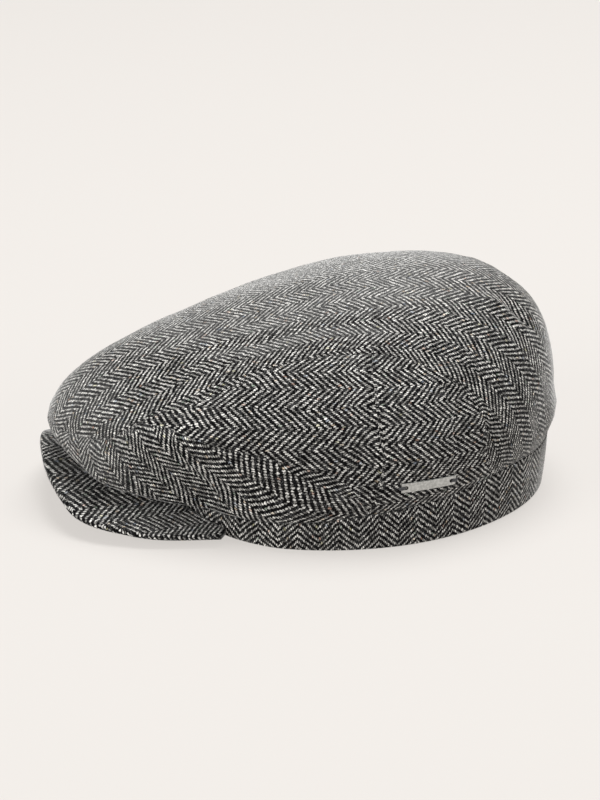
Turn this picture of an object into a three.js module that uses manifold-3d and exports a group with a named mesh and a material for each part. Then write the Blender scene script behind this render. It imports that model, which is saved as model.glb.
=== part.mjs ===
// A flat cap of herringbone tweed, in millimetres.
// The front faces -Y, the wearer's left side faces +X, and +Z is up.
// The origin is the centre of the cap's outline, on the surface that it rests on.
// An angle goes round the crown: -90 degrees is the front, 0 the left side, 90 the back.
// A level goes down the crown: 0 is its top, 1 the seam where it meets the band.

import * as THREE from 'three'
import { mergeVertices } from 'three/addons/utils/BufferGeometryUtils.js'
import Module from 'manifold-3d'

// Crown, measured from the middle of the head and from the floor.
// The rolls are how far it stands out over the head opening, at its sides and at its back.
const crownHalfWidth = 91.5
const crownFrontReach = 139.5
const crownBackReach = 104.5
const crownHeight = 109
const crownTopSetback = 28
const crownSideRoll = 5.3
const crownBackRoll = 0.5

// Head opening, measured outside the band from the middle of the head
const rimHalfWidth = crownHalfWidth - crownSideRoll
const rimFrontReach = 98
const rimBackReach = crownBackReach - crownBackRoll

// Cloth
const clothWall = 1.8
const seamGap = 0.3

// Band
const bandHeight = 18
const bandWall = 2.4
const bandFlare = 1.8

// Peak
const peakFrontReach = 143.5
const peakHalfWidth = 72
const peakCornerReach = 67.5
const peakFrontHeight = 21.3
const peakCornerHeight = 4.6
const peakThickness = 3.6

// Name plate, at an angle and a level. Its rear end is lower than its front one by the drop, in levels.
const plateLength = 28
const plateWidth = 4.6
const plateThickness = 0.6
const plateHole = 2.1
const plateHoleInset = 2.3
const plateAngle = 14
const plateLevel = 0.942
const plateDrop = 0.0196

// Rows of numbers under named columns
function table(columns, rows) {
  return rows.map((row) => Object.fromEntries(columns.map((column, i) => [column, row[i]])))
}

// The dome, from its widest ring up to its top.
// Out: share of the way from the top's axis to the crown's reach. Up: share of its height.
const domeRings = table([
  'level', 'frontOut', 'frontUp', 'cornerUp', 'sideOut',
  'sideUp', 'backOut', 'backUp', 'middle',
], [
  [0.885, 1.000, 0.317, 0.195, 1.000, 0.358, 1.000, 0.470, 0.20],
  [0.850, 1.000, 0.381, 0.262, 0.992, 0.422, 0.997, 0.538, 0.24],
  [0.790, 0.969, 0.486, 0.378, 0.960, 0.514, 0.976, 0.636, 0.22],
  [0.700, 0.896, 0.596, 0.511, 0.890, 0.630, 0.915, 0.771, 0.19],
  [0.580, 0.762, 0.706, 0.659, 0.773, 0.743, 0.775, 0.881, 0.20],
  [0.440, 0.568, 0.812, 0.796, 0.600, 0.849, 0.570, 0.954, 0.27],
  [0.300, 0.356, 0.911, 0.897, 0.408, 0.930, 0.358, 0.994, 0.48],
  [0.150, 0.174, 0.972, 0.968, 0.202, 0.978, 0.172, 1.000, 0.72],
  [0.000, 0.000, 0.994, 0.994, 0.000, 0.994, 0.000, 0.994, 1.00],
])

// The turn-under, from the seam with the band out to the widest ring.
// Each number is the share of the way from the seam to the widest ring.
const turnUnderRings = table([
  'level', 'frontOut', 'frontUp', 'cornerUp', 'sideOut',
  'sideUp', 'backOut', 'backUp', 'middle',
], [
  [1.00, 0.000,  0.000, 0.000, 0.00, 0.000, 0.0, 0.000, 0.00],
  [0.96, 0.458, -0.080, 0.050, 0.71, 0.333, 1.0, 0.355, 0.30],
  [0.92, 0.831,  0.230, 0.230, 1.00, 0.690, 1.0, 0.700, 0.60],
])

// Upper seam of the band, and how far its lower edge lifts off the floor.
// Both are shares of the band's height.
const bandLine = table(['angle', 'seam', 'lift'], [
  [-90, 1.556, 1.278],
  [-70, 1.333, 0.944],
  [-55, 0.944, 0.472],
  [-42, 0.778, 0.167],
  [-25, 0.750, 0.000],
  [  0, 1.000, 0.000],
  [ 22, 1.222, 0.000],
  [ 42, 1.500, 0.000],
  [ 65, 1.460, 0.000],
  [ 90, 1.444, 0.000],
])

// Edge of the top panel: the front seam, the side seam over the almond, then the band
const topSeam = table(['angle', 'level'], [
  [ -90, 0.862],
  [ -80, 0.845],
  [ -72, 0.812],
  [ -64, 0.787],
  [ -60, 0.763],
  [ -56, 0.708],
  [ -50, 0.662],
  [ -44, 0.630],
  [ -37, 0.572],
  [ -30, 0.522],
  [ -19, 0.492],
  [  -6, 0.495],
  [   7, 0.527],
  [  15, 0.578],
  [  24, 0.688],
  [  28, 0.755],
  [30.5, 0.830],
  [  32, 0.900],
  [33.5, 0.955],
  [  37, 1.000],
  [  90, 1.000],
])

// Seam between the side panel and the front panel, from the almond's front tip to the band
const sideSeam = table(['angle', 'level'], [
  [-56, 0.708],
  [-48, 0.705],
  [-37, 0.743],
  [-29, 0.775],
  [-17, 0.838],
  [ -8, 0.898],
  [  0, 1.000],
])

// Ends of the panels, in degrees
const frontAngle = -90
const backAngle = 90
const cornerAngle = -55
const almondTipAngle = -56
const sidePanelFrontAngle = -55
const sidePanelBackAngle = 36.3
const frontPanelEndAngle = -0.8

// The overhang over the peak narrows between these two angles from the side
const overhangStartAngle = 44
const overhangFullAngle = 62

// Faces between the angles that the panels share
const spans = [
  { from: frontAngle, parts: 4 },
  { from: -66, parts: 3 },
  { from: almondTipAngle, parts: 1 },
  { from: sidePanelFrontAngle, parts: 3 },
  { from: -44, parts: 5 },
  { from: frontPanelEndAngle, parts: 1 },
  { from: 0, parts: 3 },
  { from: 20, parts: 7 },
  { from: sidePanelBackAngle, parts: 1 },
  { from: 37, parts: 8 },
]
const topPanelParts = 12
const sidePanelParts = 6
const frontPanelParts = 6
const bandParts = 2
const plateParts = 8
const holeSides = 16

// The peak from its middle to its corner, as shares of its sizes.
// Out: of its half width. Forward and up: of the way from its corner to its front.
// The root runs along the band, at a share of the way from its lower edge to its seam.
const peakRows = table(['across', 'out', 'forward', 'up', 'rootAngle', 'rootUp'], [
  [0.00, 0.000, 1.000, 1.000,   -90, 0.45],
  [0.15, 0.168, 0.995, 0.950,   -82, 0.48],
  [0.30, 0.335, 0.974, 0.830,   -74, 0.52],
  [0.45, 0.505, 0.926, 0.580,   -67, 0.51],
  [0.60, 0.667, 0.850, 0.310,   -60, 0.50],
  [0.80, 0.854, 0.608, 0.120,   -50, 0.42],
  [0.93, 0.958, 0.316, 0.015, -43.5, 0.33],
  [1.00, 1.000, 0.000, 0.000,   -40, 0.30],
])
// Across the peak's section: distance from root to edge, and share of the half thickness
const peakSection = table(['reach', 'half'], [
  [0.00, 1.0],
  [0.25, 1.0],
  [0.50, 1.0],
  [0.75, 1.0],
  [0.96, 0.9],
  [1.00, 0.3],
])
const peakParts = 32

const wasm = await Module()
wasm.setup()

const tweed = { color: 0x77746e, roughness: 0.95, metalness: 0 }
const steel = { color: 0xa9a9a6, roughness: 0.35, metalness: 0.9 }

// Smooth curve through a table's column, level beyond its ends
function curve(rows, key, column, flatEnds = false) {
  const x = rows.map((row) => row[key])
  const y = rows.map((row) => row[column])
  const last = x.length - 1
  const rise = x.slice(1).map((value, i) => (y[i + 1] - y[i]) / (value - x[i]))
  const slope = x.map((value, i) => {
    if (i === 0 || i === last) {
      return flatEnds ? 0 : rise[Math.min(i, last - 1)]
    }
    const before = value - x[i - 1]
    const after = x[i + 1] - value
    return (rise[i - 1] * after + rise[i] * before) / (before + after)
  })
  return (at) => {
    const place = THREE.MathUtils.clamp(at, x[0], x[last])
    const i = Math.max(0, Math.min(last - 1, x.findLastIndex((value) => value <= place)))
    const width = x[i + 1] - x[i]
    const t = (place - x[i]) / width
    const u = 1 - t
    return y[i] * (1 + 2 * t) * u * u + slope[i] * width * t * u * u +
      y[i + 1] * (3 - 2 * t) * t * t - slope[i + 1] * width * t * t * u
  }
}

const radians = THREE.MathUtils.degToRad
const { lerp, smoothstep } = THREE.MathUtils

// The angle folded onto the left half, in degrees
function leftAngle(angle) {
  return THREE.MathUtils.radToDeg(Math.asin(THREE.MathUtils.clamp(Math.sin(angle), -1, 1)))
}

const bandSeamShare = curve(bandLine, 'angle', 'seam', true)
const bandLiftShare = curve(bandLine, 'angle', 'lift', true)
const topSeamCurve = curve(topSeam, 'angle', 'level')
const sideSeamLevel = curve(sideSeam, 'angle', 'level')

function topSeamLevel(degrees) {
  return Math.min(1, topSeamCurve(degrees))
}

function bandSeamHeight(angle) {
  return bandHeight * bandSeamShare(leftAngle(angle))
}

function bandLift(angle) {
  return Math.max(0, bandHeight * bandLiftShare(leftAngle(angle)))
}

// The rings in millimetres, from the table's shares
function domeRing(row) {
  return {
    level: row.level,
    front: lerp(crownTopSetback, -crownFrontReach, row.frontOut),
    frontHeight: crownHeight * row.frontUp,
    cornerHeight: crownHeight * row.cornerUp,
    side: crownHalfWidth * row.sideOut,
    sideHeight: crownHeight * row.sideUp,
    back: lerp(crownTopSetback, crownBackReach, row.backOut),
    backHeight: crownHeight * row.backUp,
    middle: crownTopSetback * row.middle,
  }
}

function turnUnderRing(row) {
  const wide = domeRing(domeRings[0])
  const seamHeight = (degrees) => bandSeamHeight(radians(degrees))
  return {
    level: row.level,
    front: lerp(-rimFrontReach, wide.front, row.frontOut),
    frontHeight: lerp(seamHeight(frontAngle), wide.frontHeight, row.frontUp),
    cornerHeight: lerp(seamHeight(cornerAngle), wide.cornerHeight, row.cornerUp),
    side: lerp(rimHalfWidth + bandFlare, wide.side, row.sideOut),
    sideHeight: lerp(seamHeight(0), wide.sideHeight, row.sideUp),
    back: lerp(rimBackReach, wide.back, row.backOut),
    backHeight: lerp(seamHeight(backAngle), wide.backHeight, row.backUp),
    middle: lerp(0, wide.middle, row.middle),
  }
}

// A ring seen from beyond the top, so that the curves run level over it
function beyondTop(ring) {
  return {
    ...ring,
    level: -ring.level,
    front: ring.back,
    frontHeight: ring.backHeight,
    cornerHeight: ring.backHeight,
    side: -ring.side,
    back: ring.front,
    backHeight: ring.frontHeight,
  }
}

const dome = domeRings.map(domeRing).reverse()
const rings = [
  ...dome.slice(1, 3).map(beyondTop).reverse(),
  ...dome,
  ...turnUnderRings.map(turnUnderRing).reverse(),
]
const ringCurves = Object.fromEntries(
  Object.keys(rings[0]).map((column) => [column, curve(rings, 'level', column)]),
)

// Height round a ring: through its front, corner, side and back
function roundHeight(degrees, front, corner, side, back) {
  const stations = [
    { angle: frontAngle, height: front },
    { angle: cornerAngle, height: corner },
    { angle: 0, height: side },
    { angle: backAngle, height: back },
  ]
  return curve(stations, 'angle', 'height', true)(degrees)
}

// A point of the crown's outer face
function crownPoint(angle, level) {
  const ring = (column) => ringCurves[column](level)
  const degrees = leftAngle(angle)
  const along = Math.sin(angle)
  const nose = smoothstep(-degrees, overhangStartAngle, overhangFullAngle)
  const lowDown = smoothstep(level, 0.72, 0.88)
  const overhang = Math.max(0, -rimFrontReach - ring('front'))
  const front = ring('front') + overhang * lowDown * (1 - nose)
  const middle = ring('middle')
  const reach = along < 0 ? middle - front : ring('back') - middle
  const height = roundHeight(
    degrees, ring('frontHeight'), ring('cornerHeight'), ring('sideHeight'), ring('backHeight'))
  const seamHeight = roundHeight(
    degrees, ...[frontAngle, cornerAngle, 0, backAngle].map((at) => bandSeamHeight(radians(at))))
  const nearSeam = smoothstep(level, 0.7, 1)
  return new THREE.Vector3(
    ring('side') * Math.cos(angle),
    middle + reach * along,
    height + (bandSeamHeight(angle) - seamHeight) * nearSeam,
  )
}

// The crown's outward direction at a point
function crownNormal(angle, level) {
  const step = 0.004
  if (level < step) {
    const across = crownPoint(0, step).sub(crownPoint(Math.PI, step))
    const along = crownPoint(Math.PI / 2, step).sub(crownPoint(-Math.PI / 2, step))
    return across.cross(along).normalize()
  }
  const down = crownPoint(angle, Math.min(1, level + step)).sub(crownPoint(angle, level - step))
  const round = crownPoint(angle + step, level).sub(crownPoint(angle - step, level))
  return down.cross(round).normalize()
}

// The level half a seam gap away from a seam, measured square to it on the cloth
function besideSeam(angle, seamLevel, towardsBand) {
  const step = 0.001
  const level = seamLevel(leftAngle(angle))
  const here = crownPoint(angle, level)
  const along = crownPoint(angle + step, seamLevel(leftAngle(angle + step))).sub(here)
  const down = here.clone().sub(crownPoint(angle, level - step))
  down.addScaledVector(along, -down.dot(along) / along.lengthSq())
  return level + (towardsBand * seamGap / 2) * (step / down.length())
}

// A strip of cloth's section at one angle: down its outer face, and back up its inner one
function clothSection(angle, levels) {
  const outer = levels.map((level) => crownPoint(angle, level))
  const inner = levels.map((level, i) =>
    outer[i].clone().addScaledVector(crownNormal(angle, level), -clothWall))
  return [...outer, ...inner.reverse()]
}

function spread(from, to, parts, ease = (share) => share) {
  return Array.from({ length: parts + 1 }, (_, i) => lerp(from, to, ease(i / parts)))
}

// A closed body skinned over sections that each run out along one face and back along the other
function loft(sections, isRing) {
  const triangles = []
  const face = (a, b, c) => {
    const area = b.clone().sub(a).cross(c.clone().sub(a)).length()
    if (area > 1e-6) {
      triangles.push(a, b, c)
    }
  }
  const quad = (a, b, c, d) => {
    face(a, b, c)
    face(a, c, d)
  }
  const points = sections[0].length
  const strips = isRing ? sections.length : sections.length - 1
  for (let i = 0; i < strips; i++) {
    const here = sections[i]
    const next = sections[(i + 1) % sections.length]
    for (let j = 0; j < points; j++) {
      const k = (j + 1) % points
      quad(here[j], here[k], next[k], next[j])
    }
  }
  if (!isRing) {
    const [first, end] = [sections[0], sections.at(-1)]
    for (let j = 0; j < points / 2 - 1; j++) {
      const k = points - 1 - j
      quad(first[j], first[k], first[k - 1], first[j + 1])
      quad(end[j], end[j + 1], end[k - 1], end[k])
    }
  }
  return closedGeometry(triangles)
}

// Joins the corners that agree to a micron, and turns the faces outwards
function closedGeometry(triangles) {
  const toMicron = (value) => Math.round(value * 1000) / 1000 + 0
  const rounded = triangles.map(({ x, y, z }) => new THREE.Vector3(toMicron(x), toMicron(y), toMicron(z)))
  const volume = (corners) => {
    let sum = 0
    for (let i = 0; i < corners.length; i += 3) {
      sum += corners[i].dot(corners[i + 1].clone().cross(corners[i + 2]))
    }
    return sum
  }
  const outward = volume(rounded) > 0 ? rounded : rounded.reverse()
  const geometry = new THREE.BufferGeometry().setFromPoints(outward)
  return mergeVertices(geometry, 1e-4)
}

// The angles that the panels share, on the left half, in radians
const leftAngles = spans.flatMap((span, i) => {
  const to = i + 1 < spans.length ? spans[i + 1].from : backAngle
  return spread(span.from, to, span.parts).slice(0, -1)
}).concat(backAngle).map(radians)
const mirrored = (angle) => Math.PI - angle
const allAngles = [...leftAngles, ...leftAngles.slice(1, -1).reverse().map(mirrored)]

function topPanel() {
  const outwards = (share) => 1 - (1 - share) ** 1.4
  return loft(allAngles.map((angle) => {
    const edge = besideSeam(angle, topSeamLevel, -1)
    return clothSection(angle, spread(0, edge, topPanelParts, outwards))
  }), true)
}

function bandSeamLevel() {
  return 1
}

function sidePanel(isLeft) {
  const from = radians(sidePanelFrontAngle) - 1e-6
  const to = radians(sidePanelBackAngle) + 1e-6
  const within = (angle) => angle > from && angle < to
  return loft(leftAngles.filter(within).map((left) => {
    const angle = isLeft ? left : mirrored(left)
    const lowerSeam = left < 0 ? sideSeamLevel : bandSeamLevel
    const upper = besideSeam(angle, topSeamLevel, 1)
    const lower = besideSeam(angle, lowerSeam, -1)
    return clothSection(angle, spread(upper, lower, sidePanelParts))
  }), false)
}

function frontPanel() {
  const half = leftAngles.filter((angle) => angle < radians(frontPanelEndAngle) + 1e-6)
  const angles = [...half.slice(1).reverse().map(mirrored), ...half]
  return loft(angles.map((angle) => {
    const isFront = leftAngle(angle) < almondTipAngle
    const upper = besideSeam(angle, isFront ? topSeamLevel : sideSeamLevel, 1)
    const lower = besideSeam(angle, bandSeamLevel, -1)
    return clothSection(angle, spread(upper, lower, frontPanelParts))
  }), false)
}

// The band's outer face: the seam line above, drawn in by the flare below
function bandPoint(angle, share) {
  const seam = crownPoint(angle, 1)
  const flare = lerp(0, bandFlare, share)
  seam.x -= flare * Math.cos(angle)
  seam.z = lerp(bandSeamHeight(angle) - seamGap, bandLift(angle), share)
  return seam
}

// The level direction square to the band, outwards
function bandOutward(angle) {
  const step = 0.001
  const along = bandPoint(angle + step, 1).sub(bandPoint(angle - step, 1)).setZ(0)
  return new THREE.Vector3(along.y, -along.x, 0).normalize()
}

function band() {
  const shares = spread(0, 1, bandParts)
  return loft(allAngles.map((angle) => {
    const outer = shares.map((share) => bandPoint(angle, share))
    const inner = outer.map((point) => point.clone().addScaledVector(bandOutward(angle), -bandWall))
    return [...outer, ...inner.reverse()]
  }), true)
}

// The middle face of the peak, from its root on the band to its edge
function peakPoint(across, reach) {
  const column = (name) => curve(peakRows, 'across', name)(Math.abs(across))
  const side = Math.sign(across)
  const rootAngle = radians(column('rootAngle'))
  const root = bandPoint(rootAngle, 1).addScaledVector(bandOutward(rootAngle), bandFlare + seamGap)
  const edge = new THREE.Vector3(
    peakHalfWidth * column('out'),
    -lerp(peakCornerReach, peakFrontReach, column('forward')),
    lerp(peakCornerHeight, peakFrontHeight, column('up')),
  )
  root.z = lerp(bandLift(rootAngle), bandSeamHeight(rootAngle), column('rootUp'))
  const point = root.lerp(edge, reach)
  point.x *= side
  return point
}

function peak() {
  return loft(spread(-1, 1, peakParts).map((across) => {
    const face = (up) => peakSection.map(({ reach, half }) => {
      const point = peakPoint(across, reach)
      point.z += (up * half * peakThickness) / 2
      return point
    })
    return [...face(1), ...face(-1).reverse()]
  }), false)
}

// A place over the side panel, measured along the plate, across it and off the cloth
function overPlatePlace(along, across, off) {
  const angle = radians(plateAngle)
  const here = crownPoint(angle, plateLevel)
  const perRadian = here.distanceTo(crownPoint(angle + 0.01, plateLevel)) / 0.01
  const turned = angle + along / perRadian
  const level = plateLevel + plateDrop * along / plateLength
  const dropAhead = 0.01 * perRadian * plateDrop / plateLength
  const normal = crownNormal(turned, level)
  const forward = crownPoint(turned + 0.01, level + dropAhead)
    .sub(crownPoint(turned - 0.01, level - dropAhead)).normalize()
  const up = normal.clone().cross(forward).negate()
  return crownPoint(turned, level).addScaledVector(up, across).addScaledVector(normal, off)
}

function toSolid(geometry) {
  return new wasm.Manifold(new wasm.Mesh({
    numProp: 3,
    vertProperties: new Float32Array(geometry.attributes.position.array),
    triVerts: new Uint32Array(geometry.index.array),
  }))
}

function toGeometry(solid) {
  const mesh = solid.getMesh()
  const geometry = new THREE.BufferGeometry()
  geometry.setAttribute('position', new THREE.BufferAttribute(mesh.vertProperties, 3))
  geometry.setIndex(new THREE.BufferAttribute(mesh.triVerts, 1))
  return geometry
}

// A round cutter through the plate at a place along and across it
function plateCutter(along, across, diameter) {
  const depth = 4 * plateThickness + 2 * seamGap
  const cutter = new THREE.CylinderGeometry(diameter / 2, diameter / 2, depth, holeSides)
  const middle = overPlatePlace(along, across, seamGap + plateThickness / 2)
  const outward = overPlatePlace(along, across, seamGap + plateThickness).sub(middle).normalize()
  cutter.applyQuaternion(new THREE.Quaternion().setFromUnitVectors(new THREE.Vector3(0, 1, 0), outward))
  cutter.translate(middle.x, middle.y, middle.z)
  cutter.deleteAttribute('normal')
  cutter.deleteAttribute('uv')
  return toSolid(mergeVertices(cutter, 1e-4))
}

// A thin plate bent to the cap's side, with a sewing hole at each end
function namePlate() {
  const half = plateWidth / 2
  const blank = loft(spread(-plateLength / 2, plateLength / 2, plateParts).map((along) => [
    overPlatePlace(along, half, seamGap + plateThickness),
    overPlatePlace(along, -half, seamGap + plateThickness),
    overPlatePlace(along, -half, seamGap),
    overPlatePlace(along, half, seamGap),
  ]), false)
  const cutters = [-1, 1].map((end) => plateCutter(end * (plateLength / 2 - plateHoleInset), 0, plateHole))
  return toGeometry(cutters.reduce((solid, cutter) => solid.subtract(cutter), toSolid(blank)))
}

function piece(name, geometry, finish) {
  geometry.computeVertexNormals()
  const mesh = new THREE.Mesh(geometry, new THREE.MeshStandardMaterial({ ...finish, flatShading: true }))
  mesh.name = name
  return mesh
}

const cap = new THREE.Group()
cap.add(piece('top_panel', topPanel(), tweed))
cap.add(piece('side_panel_left', sidePanel(true), tweed))
cap.add(piece('side_panel_right', sidePanel(false), tweed))
cap.add(piece('front_panel', frontPanel(), tweed))
cap.add(piece('band', band(), tweed))
cap.add(piece('peak', peak(), tweed))
cap.add(piece('name_plate', namePlate(), steel))
cap.position.y = (peakFrontReach - crownBackReach) / 2

export default cap
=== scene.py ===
"""The looks of a herringbone tweed flat cap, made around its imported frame.

Lengths in the shape functions are millimetres, as in the cap's pattern; meshes are metres.
The front faces -Y and the wearer's left side faces +X.
An angle goes round the crown (-90 degrees front, 0 left side, 90 back).
A level goes down it (0 top, 1 the band's seam).
"""

import math

import bmesh
import bpy
import numpy as np
from mathutils import Matrix, Vector, noise


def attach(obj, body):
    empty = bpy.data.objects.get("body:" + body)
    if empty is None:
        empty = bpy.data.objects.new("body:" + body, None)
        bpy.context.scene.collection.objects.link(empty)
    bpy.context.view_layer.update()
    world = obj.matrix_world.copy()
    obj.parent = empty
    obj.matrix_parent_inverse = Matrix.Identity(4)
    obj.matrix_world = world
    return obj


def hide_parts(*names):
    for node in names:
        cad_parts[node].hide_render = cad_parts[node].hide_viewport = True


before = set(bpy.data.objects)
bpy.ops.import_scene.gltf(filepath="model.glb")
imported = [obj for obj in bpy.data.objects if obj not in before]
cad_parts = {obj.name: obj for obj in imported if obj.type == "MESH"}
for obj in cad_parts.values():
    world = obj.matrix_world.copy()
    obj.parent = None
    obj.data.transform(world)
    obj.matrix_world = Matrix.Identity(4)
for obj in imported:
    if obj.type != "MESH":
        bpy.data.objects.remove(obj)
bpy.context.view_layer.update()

MM = 0.001

# Head opening, crown, cloth, peak and plate, as the frame's solids have them. Only the opening's back is
# drawn in, by 1.5, sewn cloths lie as close as CLOTH_GAP, not SEAM_GAP, and the plate's edges are softened.
RIM_HALF_WIDTH = 86.2
RIM_FRONT_REACH = 98.0
RIM_BACK_REACH = 102.5
CROWN_HALF_WIDTH = 91.5
CROWN_FRONT_REACH = 139.5
CROWN_BACK_REACH = 104.5
CROWN_HEIGHT = 109.0
CROWN_TOP_SETBACK = 28.0
CLOTH_WALL = 1.8
SEAM_GAP = 0.3
CLOTH_GAP = 0.06
BAND_HEIGHT = 18.0
BAND_WALL = 2.4
BAND_FLARE = 1.8
PEAK_FRONT_REACH = 143.5
PEAK_HALF_WIDTH = 72.0
PEAK_CORNER_REACH = 67.5
PEAK_FRONT_HEIGHT = 21.3
PEAK_CORNER_HEIGHT = 4.6
PLATE_LENGTH = 28.0
PLATE_WIDTH = 4.6
PLATE_THICKNESS = 0.6
PLATE_BEVEL = 0.16
PLATE_HOLE = 2.1
PLATE_HOLE_INSET = 2.3
PLATE_ANGLE = 14.0
PLATE_LEVEL = 0.942
PLATE_SLOPE = 0.0007
OUTLINE_SHIFT = (PEAK_FRONT_REACH - CROWN_BACK_REACH) / 2

# Tables of the cap's pattern, with the columns named over each
# level, front out, front up, corner up, side out, side up, back out, back up, middle
DOME_RINGS = np.array([
    (0.885, 1.000, 0.317, 0.195, 1.000, 0.358, 1.000, 0.470, 0.20),
    (0.850, 1.000, 0.381, 0.262, 0.992, 0.422, 0.997, 0.538, 0.24),
    (0.790, 0.969, 0.486, 0.378, 0.960, 0.514, 0.976, 0.636, 0.22),
    (0.700, 0.896, 0.596, 0.511, 0.890, 0.630, 0.915, 0.771, 0.19),
    (0.580, 0.762, 0.706, 0.659, 0.773, 0.743, 0.775, 0.881, 0.20),
    (0.440, 0.568, 0.812, 0.796, 0.600, 0.849, 0.570, 0.954, 0.27),
    (0.300, 0.356, 0.911, 0.897, 0.408, 0.930, 0.358, 0.994, 0.48),
    (0.150, 0.174, 0.972, 0.968, 0.202, 0.978, 0.172, 1.000, 0.72),
    (0.000, 0.000, 0.994, 0.994, 0.000, 0.994, 0.000, 0.994, 1.00),
])
TURN_UNDER_RINGS = np.array([
    (1.00, 0.000, 0.000, 0.000, 0.00, 0.000, 0.0, 0.000, 0.00),
    (0.96, 0.458, -0.080, 0.050, 0.71, 0.333, 1.0, 0.355, 0.30),
    (0.92, 0.831, 0.230, 0.230, 1.00, 0.690, 1.0, 0.700, 0.60),
])
# angle, seam, lift
BAND_LINE = np.array([
    (-90, 1.556, 1.278), (-70, 1.333, 0.944), (-55, 0.944, 0.472), (-42, 0.778, 0.167), (-25, 0.750, 0),
    (0, 1, 0), (22, 1.222, 0), (42, 1.5, 0), (65, 1.46, 0), (90, 1.444, 0),
])
# angle, level
TOP_SEAM = np.array([
    (-90, 0.862), (-80, 0.845), (-72, 0.812), (-64, 0.787), (-60, 0.763), (-56, 0.708),
    (-50, 0.662), (-44, 0.630), (-37, 0.572), (-30, 0.522), (-19, 0.492), (-6, 0.495),
    (7, 0.527), (15, 0.578), (24, 0.688), (28, 0.755), (30.5, 0.830), (32, 0.900),
    (33.5, 0.955), (37, 1.000), (90, 1.000),
])
SIDE_SEAM = np.array([
    (-56, 0.708), (-48, 0.705), (-37, 0.743), (-29, 0.775), (-17, 0.838), (-8, 0.898), (0, 1.000),
])
# across, out, forward, up, root angle, root up
PEAK_ROWS = np.array([
    (0.00, 0.000, 1.000, 1.000, -90, 0.45),
    (0.15, 0.168, 0.995, 0.950, -82, 0.48),
    (0.30, 0.335, 0.974, 0.830, -74, 0.52),
    (0.45, 0.505, 0.926, 0.580, -67, 0.51),
    (0.60, 0.667, 0.850, 0.310, -60, 0.50),
    (0.80, 0.854, 0.608, 0.120, -50, 0.42),
    (0.93, 0.958, 0.316, 0.015, -43.5, 0.33),
    (1.00, 1.000, 0.000, 0.000, -40, 0.30),
])
CORNER_ANGLE = -55.0
ALMOND_TIP = -56.0
SIDE_PANEL_ENDS = (-55.0, 36.3)
FRONT_PANEL_END = -0.8
OVERHANG = (44.0, 62.0)
# angle that a span of faces starts at, and its share of the faces
SPANS = (
    (-90, 4), (-66, 3), (-56, 1), (-55, 3), (-44, 5), (-0.8, 1),
    (0, 3), (20, 7), (36.3, 1), (37, 8), (90, 0),
)


def smoothstep(low, high, value):
    t = np.clip((value - low) / (high - low), 0, 1)
    return t * t * (3 - 2 * t)


def lerp(a, b, share):
    return a + (b - a) * share


def alike(*values):
    """The values as arrays of one shape."""
    return np.broadcast_arrays(*(np.asarray(value, float) for value in values))


def unit(vectors):
    return vectors / np.maximum(np.linalg.norm(vectors, axis=-1, keepdims=True), 1e-12)


def curve(x, y, flat_ends=False):
    """A smooth curve through points, as the frame's tables are read. y may hold several columns."""
    x = np.asarray(x, float)
    y = np.asarray(y, float)
    gap = np.diff(x).reshape((-1,) + (1,) * (y.ndim - 1))
    rise = np.diff(y, axis=0) / gap
    inner = (rise[:-1] * gap[1:] + rise[1:] * gap[:-1]) / (gap[:-1] + gap[1:])
    slope = np.concatenate([rise[:1], inner, rise[-1:]])
    if flat_ends:
        slope[0] = 0
        slope[-1] = 0

    def at(value):
        value = np.clip(value, x[0], x[-1])
        i = np.clip(np.searchsorted(x, value, side="right") - 1, 0, len(x) - 2)
        width = x[i + 1] - x[i]
        t = (value - x[i]) / width
        columns = (1,) * (y.ndim - 1)
        t = t.reshape(t.shape + columns)
        width = width.reshape(width.shape + columns)
        u = 1 - t
        return (y[i] * (1 + 2 * t) * u * u + slope[i] * width * t * u * u
                + y[i + 1] * (3 - 2 * t) * t * t - slope[i + 1] * width * t * t * u)

    return at


def left_angle(angle):
    """The angle folded onto the left half, in degrees."""
    return np.degrees(np.arcsin(np.clip(np.sin(angle), -1, 1)))


band_seam_share = curve(BAND_LINE[:, 0], BAND_LINE[:, 1], True)
band_lift_share = curve(BAND_LINE[:, 0], BAND_LINE[:, 2], True)
top_seam_curve = curve(TOP_SEAM[:, 0], TOP_SEAM[:, 1])
side_seam_level = curve(SIDE_SEAM[:, 0], SIDE_SEAM[:, 1])
peak_rows = curve(PEAK_ROWS[:, 0], PEAK_ROWS[:, 1:])


def top_seam_level(degrees):
    return np.minimum(1, top_seam_curve(degrees))


def band_seam_level(degrees):
    return np.ones_like(degrees)


def band_seam_height(angle):
    return BAND_HEIGHT * band_seam_share(left_angle(angle))


def band_lift(angle):
    return np.maximum(0, BAND_HEIGHT * band_lift_share(left_angle(angle)))


STATION_ANGLES = np.array([-90.0, CORNER_ANGLE, 0.0, 90.0])
SEAM_HEIGHTS = band_seam_height(np.radians(STATION_ANGLES))


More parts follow.
